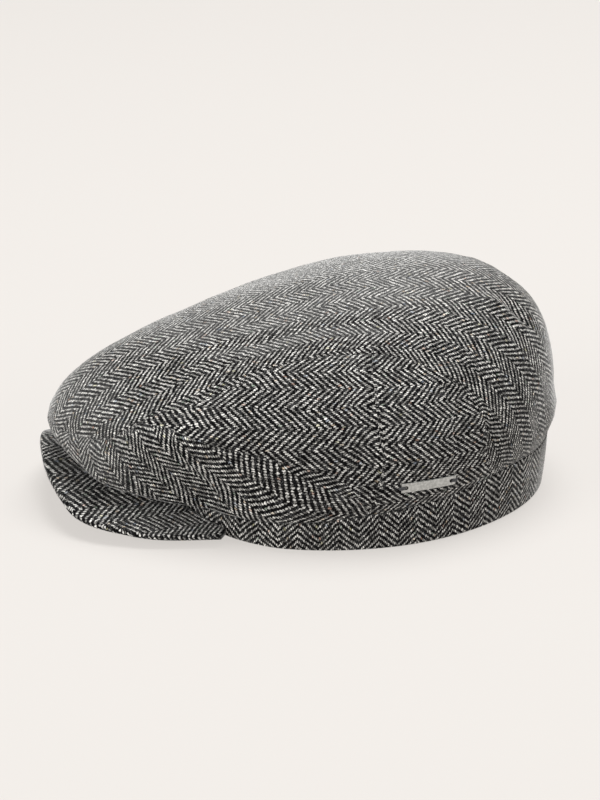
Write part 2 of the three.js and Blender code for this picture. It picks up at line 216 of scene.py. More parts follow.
def ring_table():
    """Level, then front, heights at the four stations, side, back and middle, in millimetres."""
    def dome(row):
        level, front_out, front_up, corner_up, side_out, side_up, back_out, back_up, middle = row
        heights = [CROWN_HEIGHT * up for up in (front_up, corner_up, side_up, back_up)]
        return [level, lerp(CROWN_TOP_SETBACK, -CROWN_FRONT_REACH, front_out), *heights,
                CROWN_HALF_WIDTH * side_out, lerp(CROWN_TOP_SETBACK, CROWN_BACK_REACH, back_out),
                CROWN_TOP_SETBACK * middle]

    wide = dome(DOME_RINGS[0])

    def turn_under(row):
        level, front_out, front_up, corner_up, side_out, side_up, back_out, back_up, middle = row
        heights = [lerp(seam, high, up) for seam, high, up in
                   zip(SEAM_HEIGHTS, wide[2:6], (front_up, corner_up, side_up, back_up))]
        return [level, lerp(-RIM_FRONT_REACH, wide[1], front_out), *heights,
                lerp(RIM_HALF_WIDTH + BAND_FLARE, wide[6], side_out),
                lerp(RIM_BACK_REACH, wide[7], back_out), wide[8] * middle]

    def beyond_top(row):
        level, front, front_up, _corner_up, side_up, back_up, side, back, middle = row
        return [-level, back, back_up, back_up, side_up, front_up, -side, front, middle]

    rows = [dome(row) for row in DOME_RINGS][::-1]
    beyond = [beyond_top(row) for row in rows[1:3]][::-1]
    return np.array(beyond + rows + [turn_under(row) for row in TURN_UNDER_RINGS][::-1])


RINGS = ring_table()
ring_at = curve(RINGS[:, 0], RINGS[:, 1:])
# How much each station's height counts at an angle
station_parts = curve(STATION_ANGLES, np.eye(len(STATION_ANGLES)), True)


def crown_point(angle, level):
    """Points of the crown's outer face, in millimetres from the middle of the head."""
    angle, level = alike(angle, level)
    ring = ring_at(level)
    front, side, back, middle = (ring[..., k] for k in (0, 5, 6, 7))
    degrees = left_angle(angle)
    along = np.sin(angle)
    nose = smoothstep(*OVERHANG, -degrees)
    low_down = smoothstep(0.72, 0.88, level)
    overhang = np.maximum(0, -RIM_FRONT_REACH - front)
    front = front + overhang * low_down * (1 - nose)
    reach = np.where(along < 0, middle - front, back - middle)
    parts = station_parts(degrees)
    height = (parts * ring[..., 1:5]).sum(-1)
    seam_height = parts @ SEAM_HEIGHTS
    near_seam = smoothstep(0.7, 1, level)
    return np.stack([side * np.cos(angle), middle + reach * along,
                     height + (band_seam_height(angle) - seam_height) * near_seam], -1)


def crown_normal(angle, level):
    step = 0.004
    angle, level = alike(angle, level)
    down = crown_point(angle, np.minimum(1, level + step)) - crown_point(angle, level - step)
    round_it = crown_point(angle + step, level) - crown_point(angle - step, level)
    normal = np.cross(down, round_it)
    across = crown_point(0, step) - crown_point(math.pi, step)
    along = crown_point(math.pi / 2, step) - crown_point(-math.pi / 2, step)
    return unit(np.where((level < step)[..., None], np.cross(across, along), normal))


def per_level(angle, seam_level):
    """Millimetres of cloth for each unit of level, square to a seam."""
    step = 0.001
    level = seam_level(left_angle(angle))
    here = crown_point(angle, level)
    along = crown_point(angle + step, seam_level(left_angle(angle + step))) - here
    down = here - crown_point(angle, level - step)
    down = down - along * ((down * along).sum(-1) / (along * along).sum(-1))[..., None]
    return np.linalg.norm(down, axis=-1) / step


def mirrored(angle):
    return math.pi - angle


def all_round(half):
    """The left half's angles and the right half's, once round the cap."""
    return np.concatenate([half, mirrored(half[1:-1][::-1])])


def left_angles(parts):
    """The angles that the panels share, on the left half, in radians."""
    made = []
    for (start, faces), (end, _) in zip(SPANS[:-1], SPANS[1:]):
        made.extend(np.linspace(start, end, faces * parts, endpoint=False))
    return np.radians(np.array(made + [SPANS[-1][0]]))


# Folds and dents of the crown: the rise, the half width, how far the ends fade, and the points on the crown
# that the line runs through, in millimetres from the middle of the head
FOLDS = (
    (-0.9, 5.0, 20, ((27, -74, 78), (34, -58, 84), (39, -41, 88), (41, -19, 92), (47, 4, 95), (50, 21, 96))),
    (0.6, 7.0, 20, ((24, -84, 77), (31, -60, 87), (34, -30, 95))),
    (1.2, 3.2, 7, ((28, 66, 101), (34, 72, 97), (37, 79, 90), (40, 86, 82))),
    (-1.7, 4.2, 7, ((30, 76, 97), (34, 81, 93), (38, 88, 86))),
    (1.1, 4.0, 8, ((60, 50, 87), (66, 54, 79), (70, 59, 71), (73, 63, 62))),
    (-3.2, 9.0, 12, ((71, 42, 77), (77, 42, 68), (83, 44, 55), (86, 45, 42))),
    (-2.6, 2.3, 5, ((26, -128, 46), (36, -119, 45), (47, -110, 43))),
    (-1.4, 2.6, 5, ((18, -136, 42), (30, -129, 44))),
    (1.2, 3.0, 6, ((27, -120, 54), (38, -112, 52), (46, -104, 50))),
    (1.4, 3.4, 7, ((33, -126, 38), (44, -117, 37))),
    (-1.5, 4.0, 7, ((-26, -128, 46), (-38, -117, 45))),
    (-0.9, 6.0, 25, ((-30, -88, 72), (-42, -50, 84), (-50, -5, 93))),
    (1.0, 5.0, 8, ((-22, 66, 101), (-34, 84, 87))),
    (-1.3, 6.0, 8, ((-8, 80, 97), (-22, 92, 84))),
    (-1.9, 10.0, 12, ((-72, 42, 77), (-84, 44, 55))),
    (1.7, 6.0, 12, ((44, 92, 40), (20, 101, 41), (-12, 103, 41))),
    (0.7, 8.0, 15, ((62, -30, 77), (70, -8, 77), (72, 12, 78))),
    (-0.8, 9.0, 14, ((72, -46, 52), (82, -18, 52))),
)


def off_line(points, line):
    """Distance from a line of points, how far along it the nearest place is, and its length."""
    nearest = np.full(points.shape[:-1], 1e9)
    place = np.zeros(points.shape[:-1])
    before = 0.0
    for a, b in zip(line[:-1], line[1:]):
        a = np.array(a, float)
        b = np.array(b, float)
        length = np.linalg.norm(b - a)
        share = np.clip(((points - a) @ (b - a)) / length ** 2, 0, 1)
        away = np.linalg.norm(points - a - share[..., None] * (b - a), axis=-1)
        closer = away < nearest
        nearest = np.where(closer, away, nearest)
        place = np.where(closer, before + share * length, place)
        before += length
    return nearest, place, before


def relief(points):
    """How far the cloth stands off the smooth crown, in millimetres."""
    stands = np.zeros(points.shape[:-1])
    for rise, half, fade, line in FOLDS:
        away, place, length = off_line(points, line)
        ends = smoothstep(0, fade, np.minimum(place, length - place) + fade / 4)
        stands += rise * np.exp(-((away / half) ** 2)) * ends
    return stands


def soft_noise(points, size, seed):
    """Smooth noise of about one unit either way, with bumps of a given size in millimetres."""
    flat = points.reshape(-1, 3) / size + seed
    return np.array([noise.noise(Vector(p)) for p in flat.tolist()]).reshape(points.shape[:-1])


def edge_roll(away, radius):
    """The turned edge of a panel, away from its seam."""
    inside = np.clip(radius - away, 0, radius)
    return np.sqrt(np.maximum(radius ** 2 - inside ** 2, 0)) - radius


# The seams' turned edges, the sunk strip beside them, the puckers there, and the lip over the peak
SEAM_ROLL = 0.35
SEAM_DIP = 0.3
SEAM_DIP_WIDTH = 3.5
PUCKER = 0.4
PUCKER_LENGTH = 8.0
PUCKER_REACH = 7.0
PUCKER_SEED = 11.3
LIP_LIFT = 3.6
# Soft waves of the cloth: how high, how long, and the place in the noise
WAVES = ((0.6, 38, 3.1), (0.3, 14, 7.7))
# How far above the band's seam the waves and folds die out, in levels
CALM_LEVEL = 0.04


def lip_lift(angle, level):
    """How far the lip over the peak is pushed up by it."""
    degrees = left_angle(angle)
    down = smoothstep(0.80, 0.90, level) * (1 - smoothstep(0.965, 1.0, level))
    return LIP_LIFT * down * smoothstep(48, 66, -degrees)


def cloth_face(angle, level, away):
    """The cloth's outer and inner faces, away millimetres from the nearest seam."""
    smooth = crown_point(angle, level)
    normal = crown_normal(angle, level)
    rise = relief(smooth)
    for high, long, seed in WAVES:
        rise += high * soft_noise(smooth, long, seed)
    rise += PUCKER * soft_noise(smooth, PUCKER_LENGTH, PUCKER_SEED) * np.exp(-((away / PUCKER_REACH) ** 2))
    rise *= smoothstep(0, CALM_LEVEL, 1 - level)
    rise -= SEAM_DIP * np.exp(-((away / SEAM_DIP_WIDTH) ** 2))
    rolled = rise + edge_roll(away, SEAM_ROLL)
    inner = np.minimum(rise, 0) - CLOTH_WALL
    smooth = smooth.copy()
    smooth[..., 2] += lip_lift(angle, level)
    return smooth + normal * rolled[..., None], smooth + normal * inner[..., None]


# Where the closer rows of faces beside a seam lie, for an edge of one
EDGE_STEPS = np.array([0.12, 0.3, 0.55, 0.85, 1.3, 2.0, 3.0])


def edge_shares(count, edge, first=True):
    """Shares from 0 to 1 that crowd towards the ends, where the seams are."""
    near = EDGE_STEPS * edge
    parts = [np.linspace(0, 1, count), 1 - near] + ([near] if first else [])
    return np.unique(np.round(np.concatenate(parts), 6))


def fit_edges(points, uv, triangles, loops=40):
    """Lays a curved cloth flat with as little stretch as it can, from a first layout."""
    a, b, c = (points[triangles[:, k]] for k in range(3))
    along = unit(b - a)
    across = np.cross(unit(np.cross(b - a, c - a)), along)
    third = ((c - a) * along).sum(1) + 1j * ((c - a) * across).sum(1)
    rest = [np.zeros(len(a)), np.linalg.norm(b - a, axis=1), third]
    uv = uv @ np.array([1, 1j])
    a, b, c = (uv[triangles[:, k]] for k in range(3))
    if np.median(((b - a).conj() * (c - a)).imag) < 0:
        rest = [place.conj() for place in rest]
    matrix = np.eye(len(points)) * 1e-8
    edges = []
    for k in range(3):
        p, q, r = rest[k], rest[(k + 1) % 3], rest[(k + 2) % 3]
        corner = (p - r).conj() * (q - r)
        weight = np.clip(corner.real / np.maximum(np.abs(corner.imag), 1e-9), 0.02, 20)
        i, j = triangles[:, k], triangles[:, (k + 1) % 3]
        edges.append((i, j, weight, p - q))
        for at, way in (((i, i), 1), ((j, j), 1), ((i, j), -1), ((j, i), -1)):
            np.add.at(matrix, at, way * weight)
    solve = np.linalg.inv(matrix)
    middle = uv.mean()
    for _ in range(loops):
        turn = sum(weight * (uv[i] - uv[j]) * span.conj() for i, j, weight, span in edges)
        turn /= np.maximum(np.abs(turn), 1e-12)
        pulls = np.zeros(len(points), complex)
        for i, j, weight, span in edges:
            np.add.at(pulls, i, turn * span * weight)
            np.add.at(pulls, j, -turn * span * weight)
        uv = solve @ pulls
        uv += middle - uv.mean()
    return np.stack([uv.real, uv.imag], -1)


def flat_layout(points, start, ring=False, top=False):
    """Flat places for a grid of points. A ring closes on itself; a top has one point at its first level."""
    rows, columns = points.shape[:2]
    index = np.arange(rows * columns).reshape(rows, columns)
    if top:
        index[:, 0] = 0
    following = np.roll(index, -1, 0) if ring else index[1:]
    here = index if ring else index[:-1]
    quads = [here[:, :-1], here[:, 1:], following[:, 1:], following[:, :-1]]
    a, b, c, d = (q.ravel() for q in quads)
    triangles = np.concatenate([np.stack([a, b, c], 1), np.stack([a, c, d], 1)])
    whole = (triangles != np.roll(triangles, 1, 1)).all(1)
    used, compact = np.unique(triangles[whole], return_inverse=True)
    triangles = compact.reshape(-1, 3)
    flat = fit_edges(points.reshape(-1, 3)[used], start.reshape(-1, 2)[used], triangles)
    place = np.zeros(rows * columns, int)
    place[used] = np.arange(len(used))
    return flat[place[index]]


def finer(uv, rows, columns, fine_rows, fine_columns):
    """A coarse grid's flat places, read smoothly at a finer grid's rows and columns."""
    down = curve(columns, np.swapaxes(uv, 0, 1))(fine_columns)
    return curve(rows, np.swapaxes(down, 0, 1))(fine_rows)


def to_metres(points):
    moved = points.copy()
    moved[..., 1] += OUTLINE_SHIFT
    return moved * MM


def piece_from_faces(name, outer, inner, uv, ring=False, top=False, under_uv=None):
    """A closed piece from the grids of its two faces, with its cloth's flat places in millimetres."""
    below = uv if under_uv is None else under_uv
    rows, columns = outer.shape[:2]
    index = np.arange(rows * columns).reshape(rows, columns)
    if top:
        index[:, 0] = 0
    under = index + rows * columns
    count = rows if ring else rows - 1
    i = np.arange(count)
    k = (i + 1) % rows
    m = i + 1 if ring and len(uv) > rows else k
    faces = []
    corners = []

    def add(grids, places):
        faces.append(np.stack([g.ravel() for g in grids], 1))
        corners.append(np.stack([p.reshape(-1, 2) for p in places], 1))

    add((index[i, :-1], index[i, 1:], index[k, 1:], index[k, :-1]),
        (uv[i, :-1], uv[i, 1:], uv[m, 1:], uv[m, :-1]))
    add((under[i, :-1], under[k, :-1], under[k, 1:], under[i, 1:]),
        (below[i, :-1], below[m, :-1], below[m, 1:], below[i, 1:]))
    add((index[i, -1], under[i, -1], under[k, -1], index[k, -1]),
        (uv[i, -1], below[i, -1], below[m, -1], uv[m, -1]))
    if not top:
        add((index[i, 0], index[k, 0], under[k, 0], under[i, 0]), (uv[i, 0], uv[m, 0], uv[m, 0], uv[i, 0]))
    if not ring:
        for row, order in ((0, 1), (rows - 1, -1)):
            a, b = index[row, :-1], index[row, 1:]
            c, d = under[row, 1:], under[row, :-1]
            places = (uv[row, :-1], uv[row, 1:], uv[row, 1:], uv[row, :-1])
            add((a, b, c, d)[::order], places[::order])
    faces = np.concatenate(faces)
    corners = np.concatenate(corners)
    vertices = to_metres(np.concatenate([outer.reshape(-1, 3), inner.reshape(-1, 3)]))
    mesh = bpy.data.meshes.new(name)
    polygons = []
    flat = []
    for face, places in zip(faces.tolist(), corners.tolist()):
        keep = [n for n in range(4) if face[n] != face[n - 1]]
        if len(set(face)) >= 3:
            polygons.append([face[n] for n in keep])
            flat.extend(places[n] for n in keep)
    used = sorted({n for polygon in polygons for n in polygon})
    place = {n: k for k, n in enumerate(used)}
    mesh.from_pydata(vertices[used].tolist(), [], [[place[n] for n in polygon] for polygon in polygons])
    layer = mesh.uv_layers.new(name="cloth")
    layer.uv.foreach_set("vector", np.array(flat, np.float32).ravel())
    mesh.validate()
    return finished(name, mesh)


def placed(name, data):
    """An object with the data, in the scene."""
    made = bpy.data.objects.new(name, data)
    bpy.context.scene.collection.objects.link(made)
    return made


def mesh_of(name, shape):
    """A mesh from a shape that isn't needed any more."""
    mesh = bpy.data.meshes.new(name)
    shape.to_mesh(mesh)
    shape.free()
    return mesh


def finished(name, mesh):
    """Faces turned outwards, smooth, and in the scene."""
    shape = bmesh.new()
    shape.from_mesh(mesh)
    bmesh.ops.recalc_face_normals(shape, faces=shape.faces)
    shape.to_mesh(mesh)
    shape.free()
    mesh.shade_smooth()
    return placed(name, mesh)


# How finely the faces divide: a panel's columns for each share of a span, and its rows in the coarse layout
COARSE = 1
FINE = 6
COARSE_SHARES = np.linspace(0, 1, 13)
# Columns that the layout of a closed ring repeats past its ends, so that it reads smoothly there
WRAP = 3
# How far a row's angle may lie past a panel's end, in radians
SLACK = 1e-6


def panel_rows(kind, parts):
    half = left_angles(parts)
    if kind == "top":
        return all_round(half)
    if kind == "side":
        low, high = np.radians(SIDE_PANEL_ENDS)
        return half[(half > low - SLACK) & (half < high + SLACK)]
    front = half[half < math.radians(FRONT_PANEL_END) + SLACK]
    return np.concatenate([mirrored(front[1:][::-1]) - 2 * math.pi, front])


def panel_edges(kind, angle):
    """Upper and lower levels of a panel, and the cloth for each unit of level there."""
    degrees = left_angle(angle)
    half_gap = CLOTH_GAP / 2
    top = top_seam_level(degrees)
    top_scale = per_level(angle, top_seam_level)
    if kind == "top":
        return np.zeros_like(top), top - half_gap / top_scale, None, top_scale
    band_scale = per_level(angle, band_seam_level)
    low = np.where(degrees < 0, side_seam_level(degrees), 1.0)
    low_scale = np.where(degrees < 0, per_level(angle, side_seam_level), band_scale)
    if kind == "side":
        return top + half_gap / top_scale, low - half_gap / low_scale, top_scale, low_scale
    upper = np.where(degrees < ALMOND_TIP, top, low)
    scale = np.where(degrees < ALMOND_TIP, top_scale, low_scale)
    return upper + half_gap / scale, 1 - half_gap / band_scale, scale, band_scale


def panel_grid(kind, parts, shares):
    """Angles, levels and distances from the nearest seam, for a panel's grid."""
    angle = panel_rows(kind, parts)
    upper, lower, upper_scale, lower_scale = panel_edges(kind, angle)
    level = upper[:, None] + (lower - upper)[:, None] * shares[None, :]
    away = (lower[:, None] - level) * lower_scale[:, None]
    if upper_scale is not None:
        away = np.minimum(away, (level - upper[:, None]) * upper_scale[:, None])
    return np.broadcast_to(angle[:, None], level.shape), level, np.maximum(away, 0)


def panel(name, kind, shares, start, lay):
    """One cloth panel, its fine faces laid flat by a coarse layout, and the outline of its cut."""
    angle, level, _ = panel_grid(kind, COARSE, COARSE_SHARES)
    points = crown_point(angle, level)
    is_top = kind == "top"
    cut = flat_layout(points, start(points), ring=is_top, top=is_top)
    flat = lay(cut)
    wrap = WRAP if is_top else 0
    if is_top:
        flat = np.concatenate([flat[-wrap:], flat, flat[:wrap]])
    fine_angle, fine_level, away = panel_grid(kind, FINE, shares)
    rows = np.arange(-wrap, len(angle) + wrap, dtype=float)
    fine = finer(flat, rows, COARSE_SHARES, np.arange(len(fine_angle)) / FINE, shares)
    outer, inner = cloth_face(fine_angle, fine_level, away)
    edges = [cut[:, -1]] if is_top else [cut[0], cut[1:, -1], cut[-1, -2::-1], cut[-2:0:-1, 0]]
    return piece_from_faces(name, outer, inner, fine, ring=is_top, top=is_top), np.concatenate(edges)


def mirror_piece(piece, name):
    """The same panel on the other side of the cap."""
    mesh = piece.data.copy()
    mesh.name = name
    mesh.transform(((-1, 0, 0, 0), (0, 1, 0, 0), (0, 0, 1, 0), (0, 0, 0, 1)))
    mesh.flip_normals()
    return placed(name, mesh)


def run_along(points, axis):
    """How far points lie along their lines from the first ones."""
    steps = np.linalg.norm(np.diff(points, axis=axis), axis=-1)
    start = np.zeros_like(np.take(steps, [0], axis))
    return np.concatenate([start, np.cumsum(steps, axis)], axis)


def polar_start(points):
    """A first layout for the top panel: its true distance from the top, in its true direction."""
    away = unit(points[:, 1:2, :2] - points[:, :1, :2])
    return run_along(points, 1)[..., None] * away


def side_start(points):
    """A first layout for a side panel: along it, and down it."""
    return np.stack([run_along(points, 1) - points[:, :1, 2], points[..., 1]], -1)


FRONT_FAN_RADIUS = 180.0


def front_start(points):
    """A first layout for the front panel: a fan over the peak whose middle line runs front to back."""
    round_it = run_along(points[:, -1], 0)
    round_it -= round_it[len(round_it) // 2]
    turn = (round_it / FRONT_FAN_RADIUS)[:, None]
    far = FRONT_FAN_RADIUS + run_along(points[:, ::-1], 1)[:, ::-1]
    return np.stack([far * np.sin(turn), far * np.cos(turn)], -1)


def straightened(uv, a, b):
    """The layout turned so that the way from a to b runs along the columns."""
    x, y = unit(uv[b] - uv[a])
    return (uv - uv[a]) @ np.array([[y, x], [-x, y]])


# The weave's column, and how each piece was laid on the cloth that it was cut from: about which point
# of its flat layout it was turned, by how many degrees, how far its columns shift, how much the
# cloth was eased, and how far it was bent when it was steamed to shape
COLUMN = 9.4
LAID = {
    "top": ((41.4, 149.5), 6.1, 3.57, 1.124, (0.0, 0.0)),
    "side": ((-15.0, 95.7), -13.6, 15.93, 1.018, (-0.619, -0.269)),
    "band": ((288.9, -10.4), 0.0, 5.3, 1.003, (0.0, 0.0)),
    "peak": ((43.6, 33.0), 5.09, 10.11, 0.891, (-0.057, -1.994)),
}
# The length that the bends are measured on, in millimetres
BEND_LENGTH = 600.0


def laid_on_cloth(kind, uv):
    """The piece's flat layout turned, shifted and eased on the cloth."""
    about, turn, shift, ease, bend = LAID[kind]
    place = (uv - about) @ np.array([1, 1j])
    bend = complex(*bend) / BEND_LENGTH
    laid = ease * np.exp(1j * math.radians(turn)) * (place + bend * place ** 2)
    return np.stack([laid.real + shift, laid.imag], -1)


def lay_top(uv):
    rows = len(uv)
    laid = straightened(uv, (0, -1), (rows // 2, -1))
    laid[..., 0] -= laid[0, 0, 0]
    return laid_on_cloth("top", laid)


def lay_side(uv):
    return laid_on_cloth("side", straightened(uv, (0, 0), (-1, -1)))


# How the front panel's cloth was eased round the corner of the crown: powers of the distance from its
# middle line, powers of the height on it, and the part of each in the place across and along the columns
FRONT_SIZE = (100.0, 50.0)
FRONT_ACROSS = (
    (1, 0, 123.2), (1, 1, -22.3), (2, 0, -239.5), (1, 2, 1.1), (2, 1, 55.4), (3, 0, 665.7), (4, 0, -636.2),
    (3, 1, -28.9), (2, 2, -7.1), (5, 0, 196.6),
)
FRONT_ALONG = (
    (0, 1, 50.5), (2, 0, 51.5), (2, 1, -37.7), (2, 2, 2.8), (4, 0, 29.3), (4, 1, -14.3), (0, 2, 0.7),
    (3, 0, -79.0), (3, 1, 51.0),
)
FRONT_SHIFT = -6.8
# How much closer the weave is packed along the columns
FRONT_PACKED = 1.28
PEAK_PACKED = 1.2
BAND_PACKED = 1.08


def lay_front(uv):
    middle = len(uv) // 2
    base = straightened(uv, (middle, -1), (middle, 0))
    out = np.abs(base[..., 0]) / FRONT_SIZE[0]
    up = base[..., 1] / FRONT_SIZE[1]
    across = sum(part * out ** i * up ** j for i, j, part in FRONT_ACROSS)
    along = sum(part * out ** i * up ** j for i, j, part in FRONT_ALONG)
    along = along * lerp(FRONT_PACKED, 1, smoothstep(0.35, 0.9, out))
    return np.stack([np.sign(base[..., 0]) * across + FRONT_SHIFT, along], -1)


# How far the band draws in at its lower edge at the back, its hem's radius, its swelling and its waves
REAR_TAPER = 2.2
BAND_HEM = 1.1
BAND_SWELL = 0.5
BAND_WAVE = (0.3, 24, 5.5)


def band_point(angle, share):
    """The band's outer face, from the seam line down to its lower edge."""
    angle, share = alike(angle, share)
    seam = crown_point(angle, np.ones_like(angle))
    taper = REAR_TAPER * smoothstep(5, 50, left_angle(angle)) * share
    x = seam[..., 0] - (BAND_FLARE * share + taper) * np.cos(angle)
    y = seam[..., 1] - taper * np.sin(angle)
    z = lerp(band_seam_height(angle) - CLOTH_GAP, band_lift(angle), share)
    return np.stack([x, y, z], -1)


def band_outward(angle):
    step = 0.001
    along = band_point(angle + step, 1) - band_point(angle - step, 1)
    return unit(np.stack([along[..., 1], -along[..., 0], along[..., 0] * 0], -1))


def band_strip():
    """The band, with turned edges and a swelling between them, and its cut's outline."""
    angle = all_round(left_angles(FINE))
    shares = edge_shares(9, 0.045)
    grid_angle, share = np.meshgrid(angle, shares, indexing="ij")
    outer = band_point(grid_angle, share)
    height = np.maximum(band_seam_height(angle) - band_lift(angle), 1)[:, None]
    from_top = share * height
    from_floor = (1 - share) * height
    outward = band_outward(grid_angle)
    high, long, seed = BAND_WAVE
    bulge = np.sin(math.pi * share)
    hem = edge_roll(from_floor, BAND_HEM)
    rise = (BAND_SWELL + high * soft_noise(outer, long, seed)) * bulge
    rise += edge_roll(from_top, SEAM_ROLL) + hem
    inner = outer - outward * (hem + BAND_WALL)[..., None]
    outer = outer + outward * rise[..., None]
    round_it = run_along(band_point(np.append(angle, angle[0] + 2 * math.pi), 0.5), 0)
    down = np.append(from_top, from_top[:1], axis=0)
    strip = np.stack(np.broadcast_arrays(round_it[:, None], -down), -1)
    uv = laid_on_cloth("band", strip) * (1, BAND_PACKED)
    outline = np.concatenate([strip[:, 0], strip[::-1, -1]])
    return piece_from_faces("band_cloth", outer, inner, uv, ring=True), outline


def peak_middle(across, reach):
    """The middle face of the peak, from its root on the band to its edge."""
    across, reach = alike(across, reach)
    out, forward, up, root_angle, root_up = np.moveaxis(peak_rows(np.abs(across)), -1, 0)
    root_angle = np.radians(root_angle)
    root = band_point(root_angle, 1) + band_outward(root_angle) * (BAND_FLARE + SEAM_GAP)
    root[..., 2] = lerp(band_lift(root_angle), band_seam_height(root_angle), root_up)
    edge = np.stack([PEAK_HALF_WIDTH * out, -lerp(PEAK_CORNER_REACH, PEAK_FRONT_REACH, forward),
                     lerp(PEAK_CORNER_HEIGHT, PEAK_FRONT_HEIGHT, up)], -1)
    point = root + (edge - root) * reach[..., None]
    point[..., 0] *= np.sign(across)
    return point


# The peak's cloth above and below its middle, the lift of its far half and where across it that begins and
# ends, its waves, and how much more cloth is drawn round its edge than the edge is long
PEAK_UPPER = 1.8
PEAK_LOWER = 1.0
PEAK_FAR_LIFT = 4.8
PEAK_FAR_RISE = (-0.25, 0.4)
PEAK_FAR_FALL = (0.55, 1.0)
PEAK_WAVE = (0.16, 16, 2.2)
EDGE_DRAW = 1.5
# Lines across the peak and along it, in its coarse layout
PEAK_COARSE = (31, 9)


def peak():
    """The peak: two cloth faces over a stiff core, with the cloth drawn round its edge."""
    across = np.linspace(-1, 1, 181)
    shares = edge_shares(26, 0.022, first=False)
    grid, reach = np.meshgrid(across, shares, indexing="ij")
    middle = peak_middle(grid, reach)
    far = smoothstep(*PEAK_FAR_RISE, -grid) * (1 - smoothstep(*PEAK_FAR_FALL, -grid))
    middle[..., 2] += PEAK_FAR_LIFT * far * reach
    length = np.linalg.norm(peak_middle(across, 1) - peak_middle(across, 0), axis=-1)[:, None]
    half = (PEAK_UPPER + PEAK_LOWER) / 2
    away = np.minimum((1 - reach) * length, 40)
    sine = np.clip((half - away) / half, 0, 1)
    round_edge = np.maximum(np.sqrt(1 - sine ** 2), 0.02)
    high, long, seed = PEAK_WAVE
    lift = high * soft_noise(middle, long, seed) * smoothstep(0, 6, away)
    upward = np.array([0, 0, 1])
    upper = middle + (PEAK_UPPER * round_edge + lift)[..., None] * upward
    lower = middle - (PEAK_LOWER * round_edge)[..., None] * upward
    coarse_across = np.linspace(-1, 1, PEAK_COARSE[0])
    coarse_shares = np.linspace(0, 1, PEAK_COARSE[1])
    coarse = peak_middle(*np.meshgrid(coarse_across, coarse_shares, indexing="ij"))
    centre = PEAK_COARSE[0] // 2
    flat = straightened(flat_layout(coarse, coarse[..., :2].copy()), (centre, -1), (centre, 0))
    flat = laid_on_cloth("peak", flat + (COLUMN / 2, 0)) * (1, PEAK_PACKED)
    uv = finer(flat, coarse_across, coarse_shares, across, shares)
    outward = unit(uv[:, -1:] - uv[:, -12:-11])
    arc = np.arcsin(sine)
    over_edge = EDGE_DRAW * half * (arc - sine)
    under_edge = np.where(away < half, half * (math.pi - arc - sine), half * (math.pi - 2) + 2 * away)
    under_edge *= EDGE_DRAW
    around = np.where((away < 1.5 * half)[..., None], uv + outward * under_edge[..., None], uv)
    uv = uv + outward * over_edge[..., None]
    return piece_from_faces("peak_cloth", upper, lower, uv, under_uv=around)


def over_plate(along, across, off):
    """Places over the left side panel, measured along the plate, across it and off the cloth."""
    along, across, off = alike(along, across, off)
    angle = math.radians(PLATE_ANGLE)
    here = crown_point(angle, PLATE_LEVEL)
    per_radian = np.linalg.norm(crown_point(angle + 0.01, PLATE_LEVEL) - here) / 0.01
    turn = angle + along / per_radian
    level = PLATE_LEVEL + PLATE_SLOPE * along
    slope = 0.01 * PLATE_SLOPE * per_radian
    normal = crown_normal(turn, level)
    forward = unit(crown_point(turn + 0.01, level + slope) - crown_point(turn - 0.01, level - slope))
    up = -np.cross(normal, forward)
    return crown_point(turn, level) + up * across[..., None] + normal * off[..., None]


def apply_modifiers(piece):
    mesh = bpy.data.meshes.new_from_object(piece.evaluated_get(bpy.context.evaluated_depsgraph_get()))
    piece.modifiers.clear()
    piece.data = mesh


def name_plate():
    """The bare plate, with its two sewing holes and softened edges."""
    along = np.linspace(-PLATE_LENGTH / 2, PLATE_LENGTH / 2, 41)[:, None]
    across = np.linspace(PLATE_WIDTH / 2, -PLATE_WIDTH / 2, 5)[None, :]
    top = SEAM_GAP + PLATE_THICKNESS
    faces = [over_plate(along, across, off) for off in (top, SEAM_GAP)]
    plate = piece_from_faces("plate_metal", *faces, np.zeros((along.size, across.size, 2)))
    for end in (-1, 1):
        place = end * (PLATE_LENGTH / 2 - PLATE_HOLE_INSET)
        centre = to_metres(over_plate(place, 0, top - PLATE_THICKNESS / 2))
        outward = to_metres(over_plate(place, 0, top)) - centre
        shape = bmesh.new()
        bmesh.ops.create_cone(shape, cap_ends=True, segments=40, radius1=PLATE_HOLE / 2 * MM,
                              radius2=PLATE_HOLE / 2 * MM, depth=4 * MM)
        cutter = placed("hole_cutter", mesh_of("hole_cutter", shape))
        cutter.location = centre
        cutter.rotation_euler = Vector(outward).to_track_quat("Z", "Y").to_euler()
        bpy.context.view_layer.update()
        cut = plate.modifiers.new("hole", "BOOLEAN")
        cut.operation = "DIFFERENCE"
        cut.solver = "EXACT"
        cut.object = cutter
        apply_modifiers(plate)
        bpy.data.objects.remove(cutter)
    bevel = plate.modifiers.new("bevel", "BEVEL")
    bevel.width = PLATE_BEVEL * MM
    bevel.segments = 3
    bevel.limit_method = "ANGLE"
    bevel.angle_limit = math.radians(50)
    apply_modifiers(plate)
    plate.data.shade_smooth()
    return plate


def tube(name, lines, radius, sides=10):
    """Round strands along lines of points in millimetres, joined as one piece."""
    shape = bmesh.new()
    turns = np.linspace(0, 2 * math.pi, sides, endpoint=False)
    for line in lines:
        line = np.asarray(line, float)
        along = unit(np.gradient(line, axis=0))
        aside = unit(np.cross(along, np.array([0.2, 0.3, 1.0])))
        other = np.cross(along, aside)
        thin = radius * np.sqrt(np.clip(1 - np.linspace(-1, 1, len(line)) ** 8, 0.04, 1))
        ring = line[:, None] + thin[:, None, None] * (
            np.cos(turns)[None, :, None] * aside[:, None] + np.sin(turns)[None, :, None] * other[:, None])
        made = [[shape.verts.new(p) for p in row] for row in to_metres(ring).tolist()]
        for a, b in zip(made[:-1], made[1:]):
            for k in range(sides):
                shape.faces.new((a[k], a[(k + 1) % sides], b[(k + 1) % sides], b[k]))
        shape.faces.new(made[0][::-1])
        shape.faces.new(made[-1])
    return finished(name, mesh_of(name, shape))


